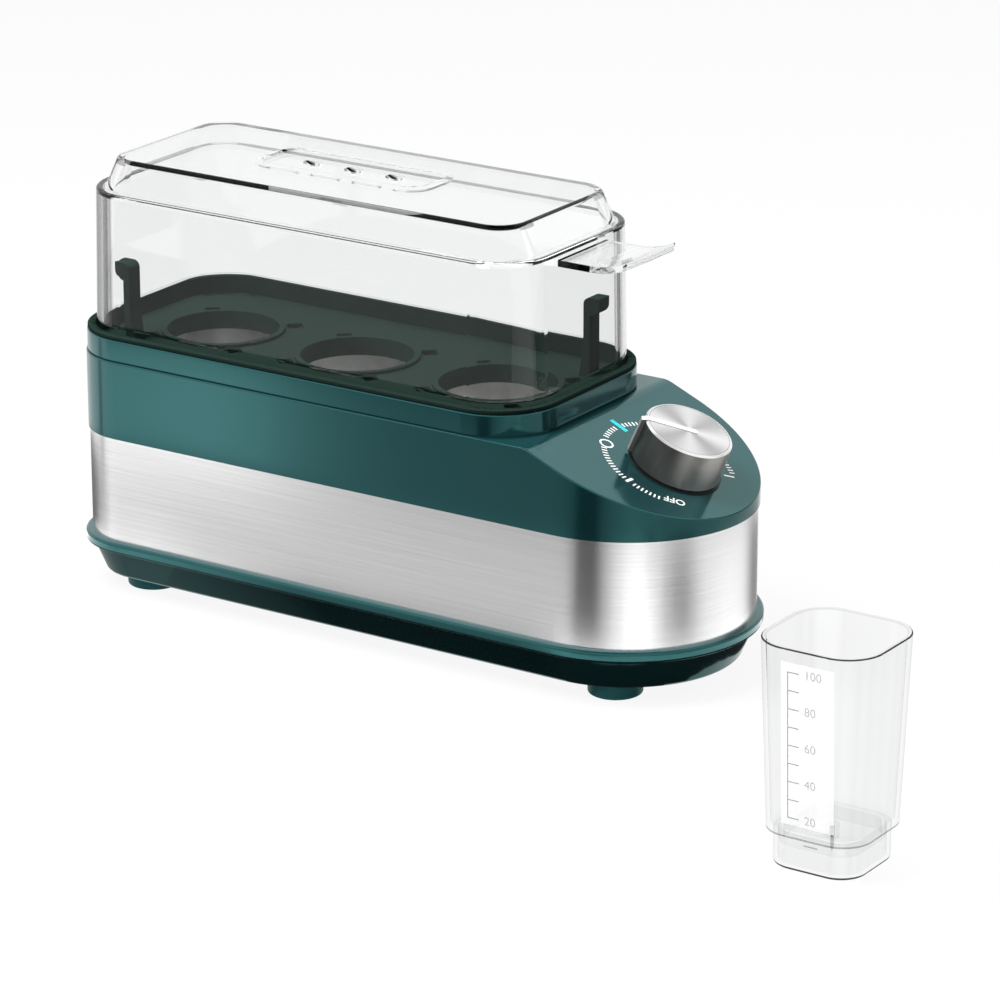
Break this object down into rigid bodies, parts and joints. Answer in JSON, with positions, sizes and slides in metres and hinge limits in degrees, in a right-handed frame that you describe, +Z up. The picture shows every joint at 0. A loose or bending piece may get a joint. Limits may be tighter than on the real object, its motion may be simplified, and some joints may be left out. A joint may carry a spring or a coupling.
{
  "type": "egg cooker",
  "caption": "Oblong egg steamer: steel-banded base, clear stepped lid, lift-out egg tray, timer dial on a sloping nose, and a clear measuring cup with a capped piercing pin.",
  "frame": {"origin": "on the worktop under the middle of the cooker's body, not counting the cup", "axes": "+X along the body towards the dial, +Y to the far side, +Z up"},
  "size_m": [0.3284, 0.1559, 0.1372],
  "materials": {
    "teal_plastic": "fine satin moulding",
    "foot_rubber": "matt",
    "band_steel": "brushed along the band",
    "fastener_steel": "plain steel",
    "sheet_steel": "plain steel",
    "pan_aluminium": "bright satin",
    "seal_silicone": "matt",
    "ceramic": "matt",
    "brass": "plain",
    "black_plastic": "matt",
    "timer_plastic": "matt",
    "knob_metal": "spun top, satin side",
    "pointer_white": "gloss",
    "inlet_rubber": "matt",
    "wire_insulation": "matt",
    "tray_plastic": "satin",
    "lid_clear": "clear, polished",
    "cup_clear": "clear, polished"
  },
  "bodies": {
    "base": {"upper_housing": "teal_plastic", "chamber_collar": "teal_plastic", "base_tub": "teal_plastic", "foot_front_left": "foot_rubber", "foot_front_right": "foot_rubber", "foot_back_left": "foot_rubber", "foot_back_right": "foot_rubber", "steel_band": "band_steel", "base_screws": "fastener_steel", "collar_screws": "fastener_steel", "thermostat_nuts": "fastener_steel", "timer_screws": "fastener_steel", "terminal_screws": "fastener_steel", "thermostat_bracket": "sheet_steel", "fuse_clip": "sheet_steel", "heater_element": "sheet_steel", "water_pan": "pan_aluminium", "pan_gasket": "seal_silicone", "heater_bushes": "ceramic", "thermal_fuse": "ceramic", "heater_pins": "brass", "timer_contacts": "brass", "thermostat": "black_plastic", "dial_washer": "black_plastic", "timer_cover": "black_plastic", "timer_case": "timer_plastic", "terminal_block": "timer_plastic", "cord_inlet": "inlet_rubber", "lead_supply": "wire_insulation", "lead_timer": "wire_insulation", "lead_thermostat": "wire_insulation", "lead_heater": "wire_insulation", "lead_return": "wire_insulation"},
    "dial": {"timer_shaft": "sheet_steel", "timer_cam": "timer_plastic", "knob_shell": "knob_metal", "knob_core": "black_plastic", "knob_pointer": "pointer_white"},
    "egg_tray": {"egg_tray": "tray_plastic"},
    "lid": {"lid": "lid_clear"},
    "pin_cap": {"pin_cap": "cup_clear"},
    "cup": {"measuring_cup": "cup_clear", "pin_holder": "cup_clear", "piercing_pin": "fastener_steel"}
  },
  "joints": [
    {"name": "dial_turn", "type": "hinge", "parent": "base", "child": "dial", "pos_m": [0.0878, 0, 0.06467], "axis": [0.3875, 0, 0.9219], "range_deg": [-172, 89]},
    {"name": "tray_lift", "type": "slide", "parent": "base", "child": "egg_tray", "axis": [0, 0, 1], "range_m": [0, 0.06]},
    {"name": "lid_lift", "type": "slide", "parent": "egg_tray", "child": "lid", "axis": [0, 0, 1], "range_m": [0, 0.08]},
    {"name": "cup_set_lift", "type": "slide", "parent": "base", "child": "pin_cap", "axis": [0, 0, 1], "range_m": [0, 0.06]},
    {"name": "cup_pull", "type": "slide", "parent": "pin_cap", "child": "cup", "axis": [0, 0, 1], "range_m": [0, 0.03]}
  ]
}
